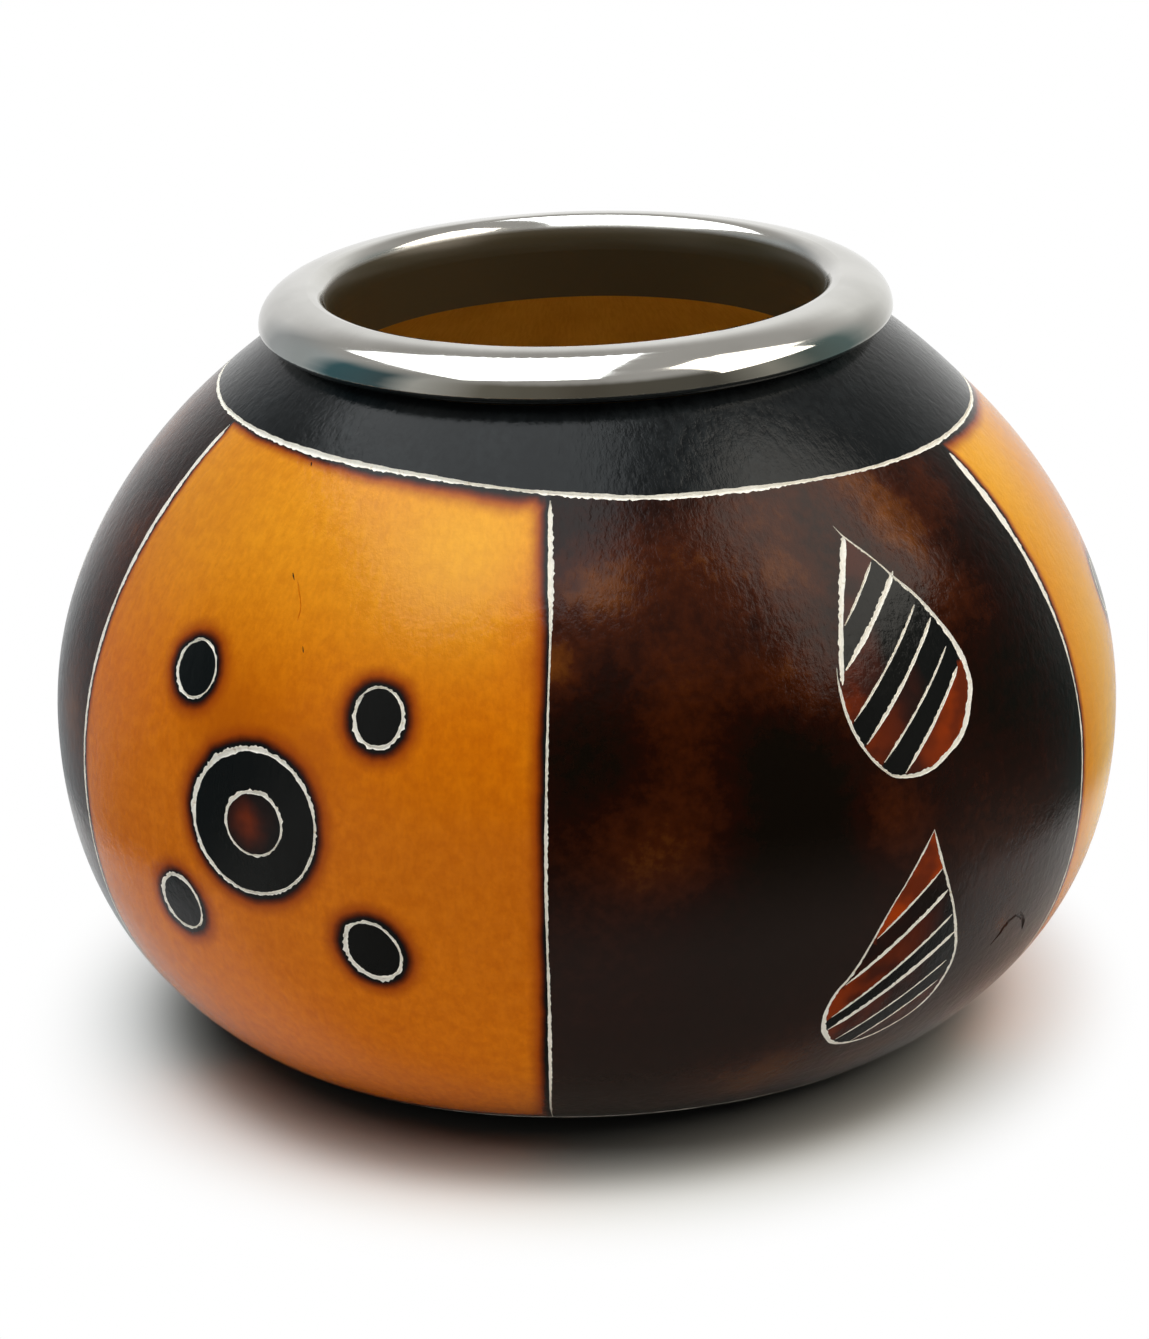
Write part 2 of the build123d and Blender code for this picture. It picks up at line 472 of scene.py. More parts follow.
# %% [markdown]
# The skin also has a few marks from its life in the field and in the workshop: a faint scratch and some
# small dark specks on the first amber panel, and the hooked crease of a knot low on the first brown panel.
# They are cuts too, but the scratch and the crease keep the colour of the skin, and the specks are black.

# %% Add the scratch, the specks and the knot
SCRATCH = [(-36.5, 24.6), (-34.9, 22.5), (-34.7, 21.1)]
SCRATCH_WIDTH = 0.12
SPECKS = [
    ((-37.6, 25.2), (-37.0, 24.6), 0.17),
    ((-33.1, 19.0), (-32.8, 18.5), 0.17),
    ((-43.4, 35.6), (-43.0, 35.2), 0.22),
]
KNOT = [
    (48.2, -15.0), (49.2, -14.2), (50.0, -13.3), (51.1, -12.9),
    (52.5, -12.9), (54.1, -14.1), (54.9, -15.4),
]
KNOT_WIDTH = 0.5
SCAR_ENDS, KNOT_ENDS = (0.4, 0.4), (2.0, 1.0)

cut(flowing(SCRATCH), SCRATCH_WIDTH, "scratch", ends=SCAR_ENDS)
for start, stop, width in SPECKS:
    cut([start, stop], width, "speck", ends=SCAR_ENDS)
cut(flowing(KNOT), KNOT_WIDTH, "scratch", ends=KNOT_ENDS)
print(len(SPECKS), "specks, a scratch and a knot")

# %% [markdown]
# ## The skin as one mesh
# The unrolled skin is a rectangle. Its points are the stations of every cut and, between them, a loose
# triangular net. A constrained triangulation joins them and keeps the edges of the cuts, so that each
# groove is a real groove with ragged edges. Where two cuts meet, the grooves simply run together. A boolean
# cut could make the grooves too, but it is slow and leaves slivers.

# %% Collect the stations
stations, links, quads, quad_kinds = [], [], [], []
for c in cuts:
    first, count = len(stations), len(c["line"])
    for row in c["rows"]:
        stations.extend(row)
    for i in range(first, first + count - 1):
        links.extend((i + k * count, i + k * count + 1) for k in range(4))
        quads.append([i, i + 1, i + 3 * count + 1, i + 3 * count])
        quad_kinds.append(c["kind"])
stations = np.array(stations)


def finder(places):
    """A search tree over (turn, climb) places, measured on the round gourd."""
    tree = kdtree.KDTree(len(places))
    for n, point in enumerate(on_skin(places[:, 0], places[:, 1])):
        tree.insert(point, n)
    tree.balance()
    return tree


print(len(stations), "station points,", len(links), "edges to keep")

# %% Fill in the net
NET_STEP, ROW_STEP = 1.05, 0.92
NET_SHAKE, ROW_SHAKE = 0.14, 0.12
ROW_SHIFTS = (0.25, 0.75)
CLEARANCE = 0.4
COLUMNS = 288

net = []
for n, climb in enumerate(np.arange(FOOT + ROW_STEP, NECK - ROW_STEP / 2, ROW_STEP)):
    count = round(2 * math.pi * skin_radius(climb) / NET_STEP)
    spread = np.arange(count) + ROW_SHIFTS[n % 2] + rng.uniform(-NET_SHAKE, NET_SHAKE, count)
    turn = -HALF_TURN + FULL_TURN * spread / count
    rise = climb + rng.uniform(-ROW_SHAKE, ROW_SHAKE, count)
    turn[0], turn[-1] = -HALF_TURN, HALF_TURN
    rise[[0, -1]] = climb
    net.append(np.stack([turn, rise], axis=1))
net = np.vstack(net)
near_cut = finder(stations)
clear = [near_cut.find(point)[2] > CLEARANCE for point in on_skin(net[:, 0], net[:, 1])]
columns = np.linspace(-HALF_TURN, HALF_TURN, COLUMNS + 1)
borders = [np.stack([columns, np.full(COLUMNS + 1, climb)], axis=1) for climb in (FOOT, NECK)]
print(sum(clear), "net points kept of", len(net))

# %% Triangulate the unrolled skin
MERGE = 1e-4

flat = np.vstack([stations, net[clear]] + borders)
flat[:, 0] = np.radians(flat[:, 0]) * BELLY_RADIUS
joined_up = delaunay_2d_cdt([Vector(p) for p in flat], links, quads, 0, MERGE)
flat_points, _, flat_faces, _, _, sources = joined_up
flat = np.array([tuple(p) for p in flat_points])
triangles = np.array(flat_faces)
grooved = np.array([bool(source) for source in sources])
scratched, specked = (
    np.array([any(quad_kinds[q] == kind for q in source) for source in sources])
    for kind in ("scratch", "speck")
)
turn = np.degrees(flat[:, 0] / BELLY_RADIUS)
climb = flat[:, 1]
print(len(turn), "points,", len(triangles), "triangles,", int(grooved.sum()), "of them in cuts")

# %% [markdown]
# ## The shape of the skin
# A point is in the bed of a cut if every triangle round it belongs to a cut. These points are pushed in.
# A gourd is grown, not turned, so the rest swells by a few tenths of a millimetre, except at the mouth and
# the foot. Two slow waves and a lean to one side are enough for that, without a displace modifier. The two
# sides of the rectangle are then joined at the back.

# %% Push in the cuts and close the skin
CUT_DEPTH = 0.20
DEPTH_LEAST, DEPTH_MOST = 0.7, 1.2
SWELL, SWELL_EASE = 0.26, 12.0
TWO_SHARE, TWO_TWIST = 0.35, 22.0
THREE_SHARE, THREE_TWIST = 0.25, 15.0
SEAM = 179.999

left_side = np.flatnonzero(turn < -SEAM)
right_side = np.flatnonzero(turn > SEAM)
joined = np.arange(len(turn))
joined[right_side[climb[right_side].argsort()]] = left_side[climb[left_side].argsort()]
corners = joined[triangles]
bed = np.ones(len(turn), bool)
bed[corners[~grooved].ravel()] = False
depth = np.where(bed, CUT_DEPTH * rng.uniform(DEPTH_LEAST, DEPTH_MOST, len(turn)), 0.0)
ease = np.clip(np.minimum(climb - FOOT, NECK - climb) / SWELL_EASE, 0.0, 1.0)
around = np.radians(turn)
two_lobes = TWO_SHARE * np.sin(2 * around + climb / TWO_TWIST)
three_lobes = THREE_SHARE * np.cos(3 * around - climb / THREE_TWIST)
swell = two_lobes + three_lobes - np.sin(around)
skin = on_skin(turn, climb, depth - SWELL * ease * swell)
print("joined", len(left_side), "points at the back,", int(bed.sum()), "points pushed in")

# %% [markdown]
# ## What each part of the skin is
# The finish needs to know where it is. Every point of the skin gets a few numbers: how far it is from the
# nearest cut, in units of that cut's halo, whether it is charred, how red it glows, and how the stain and
# some painted light were dabbed on. They could be painted on by hand. Measured from the cuts, they follow
# when a cut is moved.

# %% Measure the distance to the cuts
FAR = 9.0

scorch = np.full(len(turn), FAR)
places = on_skin(turn, climb)
for kind in ("ring", "line", "spot", "leaf", "hatch"):
    chosen = [c for c in cuts if c["kind"] == kind]
    near_line = finder(np.vstack([c["line"] for c in chosen]))
    half = np.concatenate([c["half"] for c in chosen])
    halo = np.concatenate([c["halo"] for c in chosen])
    for n, point in enumerate(places):
        _, station, gap = near_line.find(point)
        scorch[n] = min(scorch[n], max(0.0, gap - half[station]) / halo[station])
print("points within one halo of a cut:", int((scorch < 1.0).sum()))

# %% Find what is inside the spots
PUPIL_GLOW, PUPIL_SIZE, PUPIL_SHIFT = 0.50, 1.5, 0.6


def within(outline):
    """Indices of the skin points inside a closed line of (turn, climb) points."""
    low, high = outline.min(0), outline.max(0)
    near = (turn > low[0]) & (turn < high[0]) & (climb > low[1]) & (climb < high[1])
    near = np.flatnonzero(near)
    x, y = turn[near], climb[near]
    inside_line = np.zeros(len(near), bool)
    for (x0, y0), (x1, y1) in zip(outline, np.roll(outline, -1, axis=0)):
        if y0 != y1:
            inside_line ^= ((y0 > y) != (y1 > y)) & (x < x0 + (y - y0) * (x1 - x0) / (y1 - y0))
    return near[inside_line]


char = np.zeros(len(turn))
glow = np.zeros(len(turn))
for n, middle, outline in spots:
    chosen = within(outline)
    char[chosen] = 1.0
    if n == PUPIL:
        gap = np.linalg.norm(places[chosen] - on_skin(middle[0] - PUPIL_SHIFT, middle[1]), axis=1)
        glow[chosen] = PUPIL_GLOW * np.exp(-((gap / PUPIL_SIZE) ** 2))
print("charred points in the spots:", int((char > 0.5).sum()))

# %% Find what is inside the leaves
for edge, strokes, strips in leaves:
    chosen = within(edge)
    # A point's strip is the number of hatches that lie above it
    strip = np.zeros(len(chosen), int)
    for start, stop in strokes:
        slant = (stop[1] - start[1]) / (stop[0] - start[0])
        strip += climb[chosen] < start[1] + slant * (turn[chosen] - start[0])
    left_tone, right_tone = np.array(strips)[strip].T
    share = (turn[chosen] - edge[:, 0].min()) / np.ptp(edge[:, 0])
    char[chosen] = 1.0
    glow[chosen] = (left_tone + (right_tone - left_tone) * share).clip(0.0, 1.0)
print("charred points:", int((char > 0.5).sum()), "glowing points:", int((glow > 0.2).sum()))

# %% [markdown]
# The stain of the brown panels was dabbed on, and the amber has darker places of its own. A few dabs are
# painted light: a highlight high on each amber panel, the lit side of the amber panel on the right, and a
# sheen high on each brown panel. A noise texture would put them anywhere. So each dab is a soft round spot
# at a chosen place, and the dabs add up.

# %% Dab the stain and the painted light on the panels
# Turn, climb, reach in mm and strength. On the amber a dab is tan above zero, and below zero it is a painted
# highlight in gold. On the brown it is red and orange above zero and black below. The dabs near the two edges
# and the knot are on one panel only
AMBER_DABS_AND_HIGHLIGHT = [
    (-40.5, 11.0, 5.0, 0.75), (-30.5, 9.5, 4.0, 0.50), (-36.0, -7.0, 5.0, 0.15), (-45.0, 20.0, 4.0, 0.10),
    # The last dab, below zero, is a painted highlight high on the panel
    (-14.0, 2.0, 8.0, 0.15), (-56.0, 30.0, 6.0, 0.20), (-14.0, 29.5, 8.0, -0.45),
]
EDGE_DABS_AND_LIT_SIDE = [
    # The dabs below zero paint light on the lit far side of the amber panel on the right
    (72.0, 28.0, 9.0, -0.6), (75.0, 10.0, 12.0, -0.7), (76.0, -10.0, 10.0, -0.7), (-71.0, 22.0, 6.0, 0.35),
    (-72.0, 5.0, 6.0, 0.35), (-71.0, -10.0, 5.0, 0.3), (79.0, -3.0, 9.0, -0.5),
]
KNOT_DABS = [(52.3, -14.4, 1.3, 0.6), (49.3, -12.7, 1.3, 0.5), (53.0, -12.7, 0.8, -0.4)]
BROWN_DABS_AND_SHEEN = [
    (-1.0, 25.3, 5.0, 0.55), (-4.2, 18.8, 2.4, 0.75), (11.0, 15.5, 7.0, 0.15), (24.0, 15.6, 5.0, 0.45),
    (19.3, 10.0, 6.0, -0.45), (0.2, 10.5, 5.0, -0.3), (22.5, 0.9, 7.0, -0.4), (8.7, 4.0, 7.0, 0.25),
    (0.5, 0.5, 5.0, 0.25), (19.0, -26.0, 6.0, 0.65), (38.8, 33.0, 5.0, 0.5), (48.0, 9.3, 6.0, -0.2),
    (47.0, 21.0, 5.0, 0.2), (30.0, 1.5, 4.0, 0.35), (17.8, -9.0, 9.0, -0.3), (33.0, -26.5, 5.0, 0.6),
    # The dab at 23.7, 26.7 is painted sheen, high on each brown panel
    (46.0, -8.0, 5.0, 0.1), (4.0, -24.0, 8.0, -0.1), (13.0, 29.7, 5.0, 0.25), (23.7, 26.7, 6.0, 0.38),
    (43.2, 27.5, 3.6, 0.60), (53.0, 30.0, 3.5, 0.30), (48.7, -22.2, 6.0, 0.4),
]
ONE_PLACE = [(0.0, 0.0)]

stain_and_painted_light = np.zeros(len(turn))
for moves, dabs in (
    (AMBER_MOVES, AMBER_DABS_AND_HIGHLIGHT),
    (BROWN_MOVES, BROWN_DABS_AND_SHEEN),
    (ONE_PLACE, EDGE_DABS_AND_LIT_SIDE + KNOT_DABS),
):
    for around, up in moves:
        for dab_turn, dab_climb, size, strength in dabs:
            place = on_skin(dab_turn + around, dab_climb + up)
            stain_and_painted_light += strength * np.exp(-(np.linalg.norm(places - place, axis=1) / size) ** 2)
print("stain runs from", round(stain_and_painted_light.min(), 2), "to", round(stain_and_painted_light.max(), 2))

# %% [markdown]
# The finish of a triangle follows from where its middle lies. It is black above the collar line and below the
# lower ring. Between them it is amber or brown, by the number of upright lines to its left. The cuts show the
# pale flesh, whatever they run through. A mask in one big material could do this, but a material for each
# finish is easier to read.

# %% Sort the triangles by finish
AMBER, BROWN, BLACK, FLESH, INNER = range(5)

middle_turn = turn[triangles].mean(1)
middle_climb = climb[triangles].mean(1)
passed = sum(middle_turn > np.interp(middle_climb, line[:, 1], line[:, 0]) for line in panel_lines)
finish = np.where(passed % 2 == 0, AMBER, BROWN)
finish[(middle_climb > collar_line(middle_turn)) | (middle_climb < BASE_CLIMB)] = BLACK
finish[grooved & ~scratched] = FLESH
finish[specked] = BLACK
for name, k in (("amber", AMBER), ("brown", BROWN), ("black", BLACK), ("flesh", FLESH)):
    print(name, int((finish == k).sum()), "triangles")

# %% [markdown]
# ## The mouth and the hollow
# The top of the gourd is sawn off level, the neck is bored straight for the rim, and the inside is scraped
# out to a wall of a few millimetres. These are plain turned faces, so they are rings of quads that start
# from the top edge of the skin. The foot is one flat face. The CAD solid has all of them too, but with one
# mesh there is no seam at the mouth.

# %% Build the rings of the hollow
HOLLOW_RINGS = 34
SKIN_PATCH, CUT_PATCH, FOOT_PATCH, TOP_PATCH, BORE_PATCH, HOLLOW_PATCH = range(6)

kept = np.unique(corners)
number = np.full(len(turn), -1)
number[kept] = np.arange(len(kept))
points = [skin[kept]]
faces = number[corners].tolist()
patches = np.where(grooved, CUT_PATCH, SKIN_PATCH).tolist()


def border(level):
    """Skin points on the edge of the foot or the mouth, in the order of the columns."""
    found = np.flatnonzero((np.abs(climb - level) < TINY) & (turn < SEAM))
    return number[found[turn[found].argsort()]].tolist()


pick = np.linspace(len(inside) - 1, 0, HOLLOW_RINGS).round().astype(int)
rings = [(bore_radius, mouth_height, TOP_PATCH), (bore_radius, inside[-1, 1], BORE_PATCH)]
rings += [(radius, height, HOLLOW_PATCH) for radius, height in inside[pick[1:]]]
faces.append(border(FOOT)[::-1])
patches.append(FOOT_PATCH)
upper = border(NECK)
column_turn = np.radians(columns[:-1])
for radius, height, patch in rings:
    first = sum(len(p) for p in points)
    ring = (radius * np.sin(column_turn), -radius * np.cos(column_turn), np.full(COLUMNS, height))
    points.append(np.stack(ring, axis=1))
    lower = list(range(first, first + COLUMNS))
    for i in range(COLUMNS):
        j = (i + 1) % COLUMNS
        faces.append([upper[i], upper[j], lower[j], lower[i]])
        patches.append(patch)
    upper = lower
faces.append(upper)
patches.append(HOLLOW_PATCH)
points = np.vstack(points)
patches = np.array(patches)
print(len(points), "points and", len(faces), "faces in the shell")

# %% Make the shell
gourd_mesh = bpy.data.meshes.new("gourd")
gourd_mesh.from_pydata((points * MM).tolist(), [], faces)
gourd_mesh.polygons.foreach_set("use_smooth", np.ones(len(faces), bool))
gourd = bpy.data.objects.new("gourd", gourd_mesh)
bpy.context.collection.objects.link(gourd)
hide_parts("gourd_shell")
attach(gourd, "root")

finishes = np.full(len(faces), INNER, np.int32)
finishes[:len(finish)] = finish
finishes[patches == FOOT_PATCH] = BLACK
gourd_mesh.polygons.foreach_set("material_index", finishes)
# Each measure of the skin, and its value on the faces that aren't skin
measures = {"scorch": (scorch, FAR), "char": (char, 0.0), "glow": (glow, 0.0), "stain_and_painted_light": (stain_and_painted_light, 0.0)}
for name, (values, elsewhere) in measures.items():
    whole = np.full(len(points), elsewhere, np.float32)
    whole[:len(kept)] = values[kept]
    gourd_mesh.attributes.new(name, "FLOAT", "POINT").data.foreach_set("value", whole)
print("shell has", len(gourd_mesh.polygons), "faces")

# %% [markdown]
# The shading is smooth on each patch and breaks sharply between them, at the edges of the cuts, the mouth
# and the bore. Two maps are laid on the skin: one in millimetres for the grain, and one that packs
# everything without overlap, as two half skins and a strip for the hollow, for anyone who bakes textures.

# %% Sharpen the edges between patches
edge_of = np.zeros(len(gourd_mesh.loops), np.int32)
gourd_mesh.loops.foreach_get("edge_index", edge_of)
sizes = np.array([len(f) for f in faces])
patch_of = np.repeat(patches, sizes)
lowest = np.full(len(gourd_mesh.edges), len(patches))
highest = np.full(len(gourd_mesh.edges), -1)
np.minimum.at(lowest, edge_of, patch_of)
np.maximum.at(highest, edge_of, patch_of)
sharp = lowest != highest
gourd_mesh.attributes.new("sharp_edge", "BOOLEAN", "EDGE").data.foreach_set("value", sharp)
print(int(sharp.sum()), "sharp edges")

# %% Lay the maps on the skin
MAP_SIDE, MAP_GAP = 190.0, 3.0

corner_points = points[np.concatenate([np.asarray(f) for f in faces])]
corner_turn = np.degrees(np.arctan2(corner_points[:, 0], -corner_points[:, 1]))
grain_map = np.stack([np.radians(corner_turn) * BELLY_RADIUS, corner_points[:, 2]], axis=1)
bake_map = np.zeros_like(grain_map)
skin_corners = 3 * len(triangles)
sheet_turn, sheet_climb = turn[triangles].ravel(), climb[triangles].ravel()
grain_map[:skin_corners] = np.stack([np.radians(sheet_turn) * BELLY_RADIUS, sheet_climb], axis=1)
behind = np.repeat(np.abs(middle_turn) > HALF_TURN / 2, 3)
own_turn = np.where(behind, sheet_turn - HALF_TURN * np.sign(np.repeat(middle_turn, 3)), sheet_turn)
bake_map[:skin_corners, 0] = MAP_GAP + np.radians(own_turn + HALF_TURN / 2) * BELLY_RADIUS
bake_map[:skin_corners, 1] = MAP_GAP + sheet_climb - FOOT + behind * (NECK - FOOT + MAP_GAP)
print("the two half skins fill", bake_map[:skin_corners].max(0).round(1), "mm of the bake map")

# %% Lay the hollow and the two discs in the strip that is left
# Round the cup is upward in the strip, and down the wall is sideways. The foot and the floor of the hollow
# are small discs above it
STRIP, STRIP_TOP = 165.0, 150.0
DISC_SCALE = 0.3
FOOT_DISC, HOLLOW_DISC = (176.0, 163.0), (176.0, 180.0)

row = np.repeat(np.arange(len(rings)), 4 * COLUMNS)
row = row + np.tile([0, 0, 1, 1], len(rings) * COLUMNS)
column = np.repeat(np.tile(np.arange(COLUMNS), len(rings)), 4)
column = column + np.tile([0, 1, 1, 0], len(rings) * COLUMNS)
foot_corners = slice(skin_corners, skin_corners + COLUMNS)
wall_corners = slice(foot_corners.stop, foot_corners.stop + len(row))
disc_corners = slice(wall_corners.stop, len(corner_points))
bake_map[wall_corners, 0] = STRIP + row * (MAP_SIDE - STRIP - MAP_GAP) / len(rings)
bake_map[wall_corners, 1] = MAP_GAP + column * (STRIP_TOP - MAP_GAP) / COLUMNS
bake_map[foot_corners] = corner_points[foot_corners, :2] * DISC_SCALE + FOOT_DISC
bake_map[disc_corners] = corner_points[disc_corners, :2] * DISC_SCALE + HOLLOW_DISC
gourd_mesh.uv_layers.new(name="OFBake").data.foreach_set("uv", (bake_map / MAP_SIDE).ravel())
gourd_mesh.uv_layers.new(name="grain").data.foreach_set("uv", grain_map.ravel())
print("bake map runs to", (bake_map / MAP_SIDE).max(0).round(3))

# %% [markdown]
# ## Shader helpers
# Every finish below is a small graph of shader nodes. These helpers add a node, set or link its inputs,
# and start a group that several materials share.

# %% Write the helpers for nodes
def add(tree, kind, inputs=None, **settings):
    """Add a shader node, set its properties, and link or set its inputs by name or number."""
    made = tree.nodes.new("ShaderNode" + kind)
    for name, value in settings.items():
        setattr(made, name, value)
    for name, value in (inputs or {}).items():
        if isinstance(value, bpy.types.NodeSocket):
            tree.links.new(value, made.inputs[name])
        else:
            made.inputs[name].default_value = value
    return made


def mix(tree, factor, first, second):
    """A blend of two colours."""
    return add(tree, "Mix", {0: factor, 6: first, 7: second}, data_type="RGBA").outputs[2]


def fade(tree, value, start, stop, low=0.0, high=1.0):
    """A soft step of a value between two places."""
    inputs = {0: value, 1: start, 2: stop, 3: low, 4: high}
    return add(tree, "MapRange", inputs, interpolation_type="SMOOTHSTEP").outputs[0]


def maths(tree, operation, first, second=0.0, third=0.0):
    """One step of arithmetic."""
    return add(tree, "Math", {0: first, 1: second, 2: third}, operation=operation).outputs[0]


def measure(tree, name):
    """One of the numbers kept at every point of the skin."""
    return add(tree, "Attribute", attribute_name=name).outputs["Fac"]


def paint(*colour):
    """A colour with its alpha."""
    return (*colour, 1.0)


def ramp(tree, value, stops):
    """A colour that runs through several stops."""
    made = add(tree, "ValToRGB", {0: value})
    marks = made.color_ramp.elements
    marks[0].position, marks[0].color = stops[0]
    marks[-1].position, marks[-1].color = stops[-1]
    for place, colour in stops[1:-1]:
        marks.new(place).color = colour
    return made.outputs[0]


print("helpers for nodes, mixes and ramps are ready")


# %% Write the helpers for groups and materials
def start_group(name, inputs, outputs):
    """A shader group with named sockets, and the nodes at its two ends."""
    tree = bpy.data.node_groups.new(name, "ShaderNodeTree")
    for title, kind in inputs.items():
        tree.interface.new_socket(title, in_out="INPUT", socket_type="NodeSocket" + kind)
    for title, kind in outputs.items():
        tree.interface.new_socket(title, in_out="OUTPUT", socket_type="NodeSocket" + kind)
    return tree, tree.nodes.new("NodeGroupInput").outputs, tree.nodes.new("NodeGroupOutput").inputs


def use_group(tree, group, inputs=None):
    """Place a shared group in a material."""
    return add(tree, "Group", inputs, node_tree=group).outputs


def start_material(name, roughness=0.5, metallic=0.0, specular=0.5):
    """A material with a Principled shader."""
    material = bpy.data.materials.new(name)
    material.use_nodes = True
    shader = material.node_tree.nodes["Principled BSDF"]
    shader.inputs["Roughness"].default_value = roughness
    shader.inputs["Metallic"].default_value = metallic
    shader.inputs["Specular IOR Level"].default_value = specular
    return material, material.node_tree, shader.inputs


print("helpers for groups and materials are ready")

# %% [markdown]
# ## Grain and scorching
# Gourd skin has a felt of fine fibres that run mostly upward, and broad clouds of lighter and darker tone.
# An image could give both, but noise has no seam and needs no file. Every skin finish shares it as one group.
# Scorching is a second group. It takes any skin colour and browns it toward the cuts, first to a toasted
# orange, then to a burnt red and last to black, and it chars the insides of the motifs.

# %% Make the grain group
FIBRE_ACROSS, FIBRE_ALONG = 1.9, 0.85
FIBRE_DETAIL, FIBRE_BREAK, FIBRE_BEND = 3.0, 0.6, 0.6
FELTS_PER_MM, FELT_DETAIL, FELT_BREAK = 0.75, 4.0, 0.65
CLOUDS_PER_METRE, CLOUD_DETAIL = 95.0, 3.0
TONE_FROM, TONE_TO = 0.3, 0.7

grain_group, _, outs = start_group("skin grain", {}, {"Fibre": "Float", "Cloud": "Float", "Felt": "Float"})
where = add(grain_group, "UVMap", uv_map="grain").outputs[0]
space = add(grain_group, "TexCoord").outputs["Object"]
stretch = {0: where, 1: (FIBRE_ACROSS, FIBRE_ALONG, 1.0)}
stretched = add(grain_group, "VectorMath", stretch, operation="MULTIPLY").outputs[0]
fibre = {"Vector": stretched, "Scale": 1.0, "Detail": FIBRE_DETAIL}
fibre |= {"Roughness": FIBRE_BREAK, "Distortion": FIBRE_BEND}
felt = {"Vector": where, "Scale": FELTS_PER_MM, "Detail": FELT_DETAIL, "Roughness": FELT_BREAK}
cloud = {"Vector": space, "Scale": CLOUDS_PER_METRE, "Detail": CLOUD_DETAIL}
for name, inputs in (("Fibre", fibre), ("Cloud", cloud), ("Felt", felt)):
    noise = add(grain_group, "TexNoise", inputs).outputs[0]
    grain_group.links.new(fade(grain_group, noise, TONE_FROM, TONE_TO), outs[name])
print("grain group has", len(grain_group.nodes), "nodes")

# %% Make the scorch group
TOAST = paint(0.35, 0.054, 0.002)
BURNT = paint(0.055, 0.0080, 0.0020)
SOOT = paint(0.0062, 0.0066, 0.0064)
EMBER = paint(0.38, 0.044, 0.002)
TOAST_FROM, TOAST_TO = 0.6, 3.0
BURNT_FROM, BURNT_TO = 0.25, 1.35
SOOT_FROM, SOOT_TO = 0.05, 0.48
FELT_SPREAD, CLOUD_SPREAD = 0.1, -0.45
GLOWS_PER_MM, GLOW_DETAIL = 0.25, 2.5
GLOW_NONE, GLOW_FULL, GLOW_LEAST = 0.35, 0.64, 0.35

scorch_group, ins, outs = start_group(
    "scorch",
    {"Colour": "Color", "Heat": "Float", "Felt": "Float", "Cloud": "Float"},
    {"Colour": "Color"},
)
distance = maths(scorch_group, "MULTIPLY_ADD", ins["Felt"], FELT_SPREAD, measure(scorch_group, "scorch"))
distance = maths(scorch_group, "MULTIPLY_ADD", ins["Cloud"], CLOUD_SPREAD, distance)
colour = ins["Colour"]
for shade, start, stop in ((TOAST, TOAST_FROM, TOAST_TO), (BURNT, BURNT_FROM, BURNT_TO)):
    browned = fade(scorch_group, distance, start, stop, 1.0, 0.0)
    colour = mix(scorch_group, maths(scorch_group, "MULTIPLY", browned, ins["Heat"]), colour, shade)
soot = fade(scorch_group, distance, SOOT_FROM, SOOT_TO, 1.0, 0.0)
soot = maths(scorch_group, "MULTIPLY", soot, ins["Heat"])
soot = maths(scorch_group, "MAXIMUM", soot, measure(scorch_group, "char"))
colour = mix(scorch_group, soot, colour, SOOT)
where = add(scorch_group, "UVMap", uv_map="grain").outputs[0]
noise = {"Vector": where, "Scale": GLOWS_PER_MM, "Detail": GLOW_DETAIL}
uneven = add(scorch_group, "TexNoise", noise).outputs[0]
uneven = fade(scorch_group, uneven, GLOW_NONE, GLOW_FULL, GLOW_LEAST, 1.0)
glowing = maths(scorch_group, "MULTIPLY", measure(scorch_group, "glow"), uneven)
colour = mix(scorch_group, glowing, colour, EMBER)
scorch_group.links.new(colour, outs["Colour"])
print("scorch group has", len(scorch_group.nodes), "nodes")

# %% [markdown]
# ## The skin finishes
# The whole skin was waxed, so its finishes share a soft sheen. A coat layer could give it. Here it is one
# low roughness that the felt breaks up, with a bump so shallow that it shows in the highlights alone, and a
# function adds it to each finish.

# %% Give the skin its sheen
SKIN_ROUGH, SKIN_ROUGH_MORE = 0.10, 0.08
SKIN_SPECULAR, DARK_SPECULAR = 0.16, 0.13
FIBRE_HEIGHT, FIBRE_SHARE = 0.015 * MM, 0.4


def skin_shading(tree, shader, grain):
    """The sheen that all skin finishes share: rougher in the felt, with the felt slightly raised."""
    rough = maths(tree, "MULTIPLY_ADD", grain["Felt"], SKIN_ROUGH_MORE, SKIN_ROUGH)
    tree.links.new(rough, shader["Roughness"])
    raised = maths(tree, "MULTIPLY_ADD", grain["Fibre"], FIBRE_SHARE, grain["Felt"])
    bump = add(tree, "Bump", {"Height": raised, "Distance": FIBRE_HEIGHT, "Strength": 1.0})
    tree.links.new(bump.outputs[0], shader["Normal"])


print("skin sheen has a roughness from", SKIN_ROUGH, "up")

# %% [markdown]
# The amber is the gourd's own skin under a clear wax, and paler toward the neck. One flat colour would look
# painted, so two colours are blended by the climb, mottled by the grain and tinted by the dabs. The gold dabs
# are painted highlights. The scorching goes over them last.

# %% Make the amber skin
AMBER_LOW, AMBER_HIGH = paint(0.69, 0.165, 0.001), paint(0.80, 0.285, 0.008)
AMBER_TAN, AMBER_PAINTED_HIGHLIGHT = paint(0.46, 0.095, 0.001), paint(0.98, 0.50, 0.018)
HIGH_FROM, HIGH_TO = 10.0, 32.0
MOTTLE_DARK, MOTTLE_PALE = paint(0.85, 0.77, 0.6), paint(1.09, 1.18, 1.4)
TONE_FIBRE, TONE_FELT, TONE_CLOUD = 0.3, 0.5, 0.2

